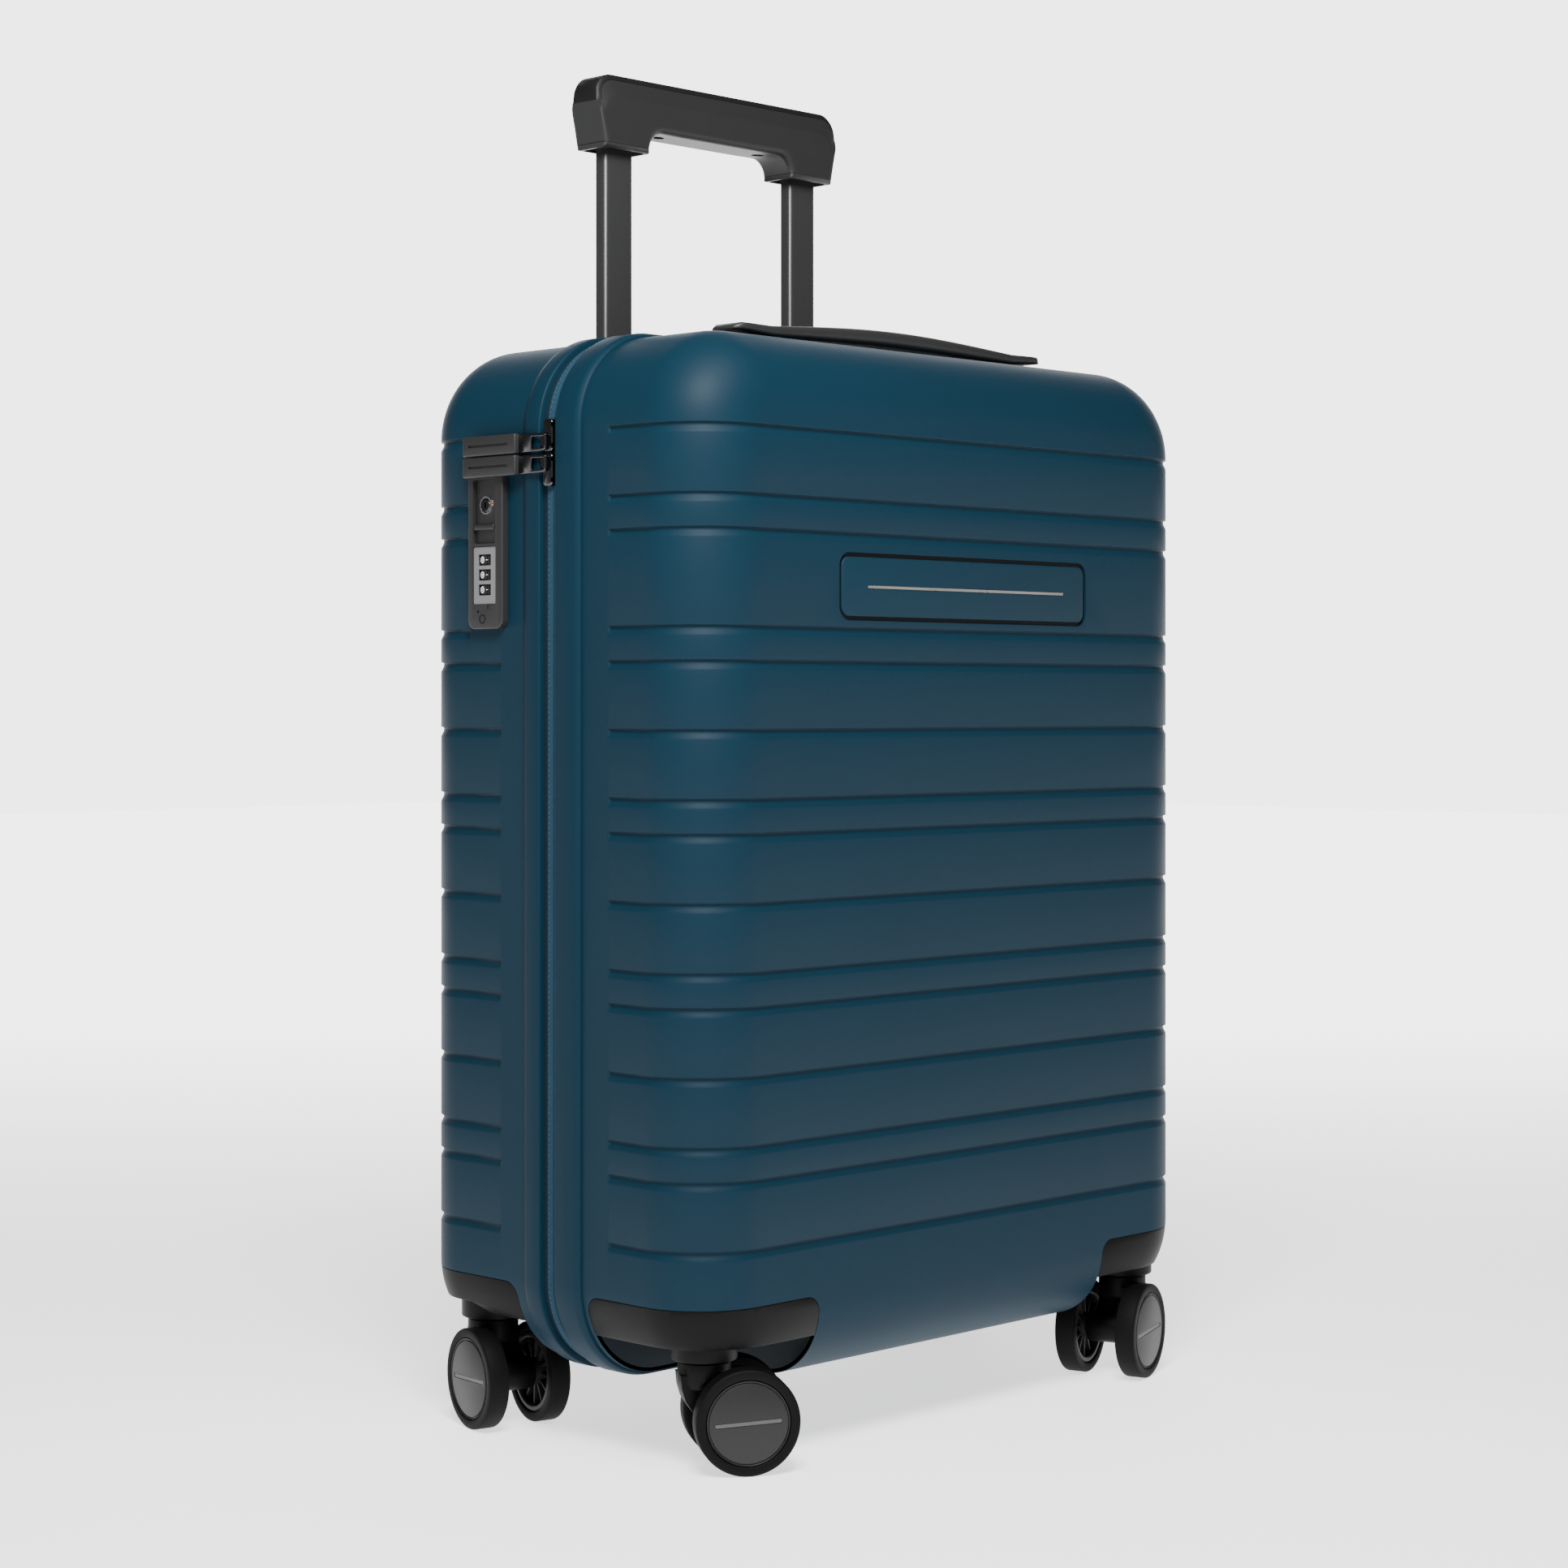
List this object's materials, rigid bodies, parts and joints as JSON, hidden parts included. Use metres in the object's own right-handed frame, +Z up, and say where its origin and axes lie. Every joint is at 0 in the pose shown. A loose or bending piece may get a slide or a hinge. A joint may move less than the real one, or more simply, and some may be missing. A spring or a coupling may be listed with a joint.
{
  "type": "hard shell cabin suitcase",
  "caption": "Upright hard shell suitcase with twin-wheel swivel casters, telescopic trolley, carry handle, side combination lock and an opening zipped shell.",
  "frame": {"origin": "on the floor under the middle of the bounding box, standing upright on its casters with the trolley half raised as in the picture", "axes": "+Z up; +Y towards the back, where the trolley runs; -Y the front face; -X the side with the lock and zip pullers; +X the hinge side"},
  "size_m": [0.4094, 0.2342, 0.7054],
  "materials": {
    "navy_shell": "matt, fine grained, pressed sheet",
    "navy_band": "satin, moulded edge band",
    "navy_tape": "woven zip tape",
    "badge_navy": "satin, slightly greyer than the shell",
    "pale_metal": "satin champagne strip",
    "black_plastic": "satin moulded plastic",
    "wheel_plastic": "satin moulded plastic",
    "tyre_rubber": "matt tread",
    "tube_metal": "glossy black anodised",
    "grip_plastic": "satin moulded plastic",
    "soft_grip": "soft satin plastic",
    "lock_plastic": "satin moulded plastic",
    "dial_plastic": "black, knurled",
    "gunmetal": "dark polished metal",
    "steel": "bright metal",
    "lining_cloth": "woven lining",
    "strap_webbing": "webbing"
  },
  "bodies": {
    "back_half": {"back_shell": "navy_shell", "back_band": "navy_band", "zip_tape_back": "navy_tape", "hinge_gusset": "lining_cloth", "back_lining": "lining_cloth", "packing_straps": "strap_webbing", "handle_tray": "black_plastic", "tube_outer_left": "tube_metal", "tube_outer_right": "tube_metal", "tube_base": "black_plastic", "caster_housing_back_left": "black_plastic", "caster_housing_back_right": "black_plastic", "lock_housing": "lock_plastic"},
    "front_half": {"front_shell": "navy_shell", "front_band": "navy_band", "zip_tape_front": "navy_tape", "front_lining": "lining_cloth", "badge_panel": "badge_navy", "badge_bar": "pale_metal", "caster_housing_front_left": "black_plastic", "caster_housing_front_right": "black_plastic"},
    "carry_handle_body": {"carry_handle": "soft_grip"},
    "trolley_middle": {"tube_middle_left": "tube_metal", "tube_middle_right": "tube_metal"},
    "trolley_grip": {"tube_inner_left": "tube_metal", "tube_inner_right": "tube_metal", "grip_body": "grip_plastic", "grip_cover": "grip_plastic"},
    "grip_button_body": {"grip_button": "grip_plastic"},
    "release_body": {"lock_release_bar": "lock_plastic"},
    "key_body": {"lock_key_cylinder": "steel"},
    "slider_upper": {"zip_slider_upper": "gunmetal"},
    "slider_lower": {"zip_slider_lower": "gunmetal"},
    "puller_upper": {"zip_puller_upper": "lock_plastic"},
    "puller_lower": {"zip_puller_lower": "lock_plastic"},
    "dial_1": {"lock_dial_1": "dial_plastic"},
    "dial_2": {"lock_dial_2": "dial_plastic"},
    "dial_3": {"lock_dial_3": "dial_plastic"},
    "fork_front_left": {"caster_fork_front_left": "black_plastic"},
    "wheel_front_left_outer": {"wheel_hub_front_left_outer": "wheel_plastic", "tyre_front_left_outer": "tyre_rubber"},
    "wheel_front_left_inner": {"wheel_hub_front_left_inner": "wheel_plastic", "tyre_front_left_inner": "tyre_rubber"},
    "fork_front_right": {"caster_fork_front_right": "black_plastic"},
    "wheel_front_right_outer": {"wheel_hub_front_right_outer": "wheel_plastic", "tyre_front_right_outer": "tyre_rubber"},
    "wheel_front_right_inner": {"wheel_hub_front_right_inner": "wheel_plastic", "tyre_front_right_inner": "tyre_rubber"},
    "fork_back_left": {"caster_fork_back_left": "black_plastic"},
    "wheel_back_left_outer": {"wheel_hub_back_left_outer": "wheel_plastic", "tyre_back_left_outer": "tyre_rubber"},
    "wheel_back_left_inner": {"wheel_hub_back_left_inner": "wheel_plastic", "tyre_back_left_inner": "tyre_rubber"},
    "fork_back_right": {"caster_fork_back_right": "black_plastic"},
    "wheel_back_right_outer": {"wheel_hub_back_right_outer": "wheel_plastic", "tyre_back_right_outer": "tyre_rubber"},
    "wheel_back_right_inner": {"wheel_hub_back_right_inner": "wheel_plastic", "tyre_back_right_inner": "tyre_rubber"}
  },
  "joints": [
    {"name": "case_hinge", "type": "hinge", "parent": "back_half", "child": "front_half", "pos_m": [0.18934, 0.00136, 0.29375], "axis": [0, 0, 1], "range_deg": [0, 180]},
    {"name": "carry_handle_lift", "type": "slide", "parent": "front_half", "child": "carry_handle_body", "axis": [0, 0, 1], "range_m": [0, 0.002], "stiffness_N_per_m": 400, "springref_m": -0.002},
    {"name": "trolley_middle_slide", "type": "slide", "parent": "back_half", "child": "trolley_middle", "axis": [0, 0, 1], "range_m": [0, 0.24]},
    {"name": "trolley_grip_slide", "type": "slide", "parent": "trolley_middle", "child": "trolley_grip", "axis": [0, 0, 1], "range_m": [-0.152, 0.11]},
    {"name": "grip_button_press", "type": "slide", "parent": "trolley_grip", "child": "grip_button_body", "axis": [0, 0, -1], "range_m": [0, 0.004], "stiffness_N_per_m": 300, "springref_m": -0.002},
    {"name": "lock_release_slide", "type": "slide", "parent": "back_half", "child": "release_body", "axis": [0, 0, -1], "range_m": [0, 0.0025], "stiffness_N_per_m": 200, "springref_m": -0.001},
    {"name": "lock_key_turn", "type": "hinge", "parent": "back_half", "child": "key_body", "pos_m": [-0.19876, 0.04876, 0.4682], "axis": [1, 0, 0], "range_deg": [0, 90]},
    {"name": "dial_1_turn", "type": "hinge", "parent": "back_half", "child": "dial_1", "pos_m": [-0.19726, 0.04876, 0.4408], "axis": [0, 0, 1], "continuous": true},
    {"name": "dial_2_turn", "type": "hinge", "parent": "back_half", "child": "dial_2", "pos_m": [-0.19726, 0.04876, 0.4333], "axis": [0, 0, 1], "continuous": true},
    {"name": "dial_3_turn", "type": "hinge", "parent": "back_half", "child": "dial_3", "pos_m": [-0.19726, 0.04876, 0.4258], "axis": [0, 0, 1], "continuous": true},
    {"name": "zip_slider_upper_slide", "type": "slide", "parent": "back_half", "child": "slider_upper", "axis": [0, 0, 1], "range_m": [0, 0.006]},
    {"name": "zip_slider_lower_slide", "type": "slide", "parent": "back_half", "child": "slider_lower", "axis": [0, 0, -1], "range_m": [0, 0.36]},
    {"name": "zip_puller_upper_swing", "type": "hinge", "parent": "slider_upper", "child": "puller_upper", "pos_m": [-0.20116, 0.00236, 0.4976], "axis": [0, 0, 1], "range_deg": [0, 160]},
    {"name": "zip_puller_lower_swing", "type": "hinge", "parent": "slider_lower", "child": "puller_lower", "pos_m": [-0.20116, 0.00236, 0.487], "axis": [0, 0, 1], "range_deg": [0, 160]},
    {"name": "swivel_front_left", "type": "hinge", "parent": "front_half", "child": "fork_front_left", "pos_m": [-0.16716, -0.07464, 0], "axis": [0, 0, 1], "continuous": true},
    {"name": "spin_front_left_outer", "type": "hinge", "parent": "fork_front_left", "child": "wheel_front_left_outer", "pos_m": [-0.14613, -0.07477, 0.0255], "axis": [0.5592, 0.829, 0], "continuous": true},
    {"name": "spin_front_left_inner", "type": "hinge", "parent": "fork_front_left", "child": "wheel_front_left_inner", "pos_m": [-0.15916, -0.09408, 0.0255], "axis": [-0.5592, -0.829, 0], "continuous": true},
    {"name": "swivel_front_right", "type": "hinge", "parent": "front_half", "child": "fork_front_right", "pos_m": [0.15684, -0.07464, 0], "axis": [0, 0, 1], "continuous": true},
    {"name": "spin_front_right_outer", "type": "hinge", "parent": "fork_front_right", "child": "wheel_front_right_outer", "pos_m": [0.14352, -0.0909, 0.0255], "axis": [0.2924, -0.9563, 0], "continuous": true},
    {"name": "spin_front_right_inner", "type": "hinge", "parent": "fork_front_right", "child": "wheel_front_right_inner", "pos_m": [0.1367, -0.06862, 0.0255], "axis": [-0.2924, 0.9563, 0], "continuous": true},
    {"name": "swivel_back_left", "type": "hinge", "parent": "back_half", "child": "fork_back_left", "pos_m": [-0.16716, 0.08136, 0], "axis": [0, 0, 1], "continuous": true},
    {"name": "spin_back_left_outer", "type": "hinge", "parent": "fork_back_left", "child": "wheel_back_left_outer", "pos_m": [-0.16009, 0.06156, 0.0255], "axis": [0.9703, -0.2419, 0], "continuous": true},
    {"name": "spin_back_left_inner", "type": "hinge", "parent": "fork_back_left", "child": "wheel_back_left_inner", "pos_m": [-0.18269, 0.0672, 0.0255], "axis": [-0.9703, 0.2419, 0], "continuous": true},
    {"name": "swivel_back_right", "type": "hinge", "parent": "back_half", "child": "fork_back_right", "pos_m": [0.15684, 0.08136, 0], "axis": [0, 0, 1], "continuous": true},
    {"name": "spin_back_right_outer", "type": "hinge", "parent": "fork_back_right", "child": "wheel_back_right_outer", "pos_m": [0.1693, 0.09829, 0.0255], "axis": [-0.342, 0.9397, 0], "continuous": true},
    {"name": "spin_back_right_inner", "type": "hinge", "parent": "fork_back_right", "child": "wheel_back_right_inner", "pos_m": [0.17727, 0.0764, 0.0255], "axis": [0.342, -0.9397, 0], "continuous": true}
  ]
}
